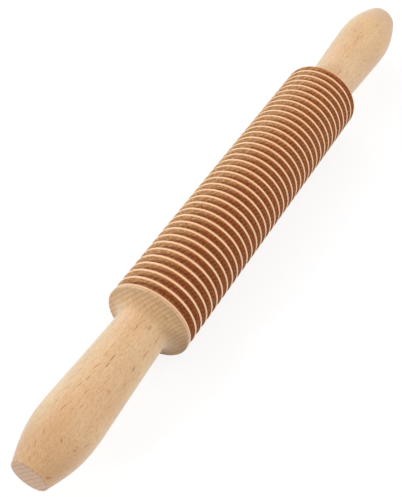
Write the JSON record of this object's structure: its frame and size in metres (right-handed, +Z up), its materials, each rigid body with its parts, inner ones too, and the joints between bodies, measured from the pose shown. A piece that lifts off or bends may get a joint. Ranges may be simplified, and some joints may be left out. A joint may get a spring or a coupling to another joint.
{
  "type": "pasta cutter rolling pin",
  "caption": "Turned wooden rolling pin with fixed handles; its barrel is grooved all round, so thin ridges cut a rolled sheet of dough into equal ribbons.",
  "frame": {"origin": "on the surface that the pin lies on, under the middle of the pin's length", "axes": "+X along the pin, from the left handle to the right handle; +Z up from the surface; +Y across the pin"},
  "size_m": [0.3656, 0.0428, 0.0428],
  "materials": {
    "barrel_beech": "bare turned beech, browned in the grooves and pale on the sanded ridge tips",
    "handle_beech": "bare turned beech, sanded smooth, with fine short flecks along the grain",
    "dowel_beech": "bare beech dowel"
  },
  "bodies": {
    "root": {"barrel": "barrel_beech", "left_handle": "handle_beech", "right_handle": "handle_beech", "core_rod": "dowel_beech"}
  },
  "joints": []
}
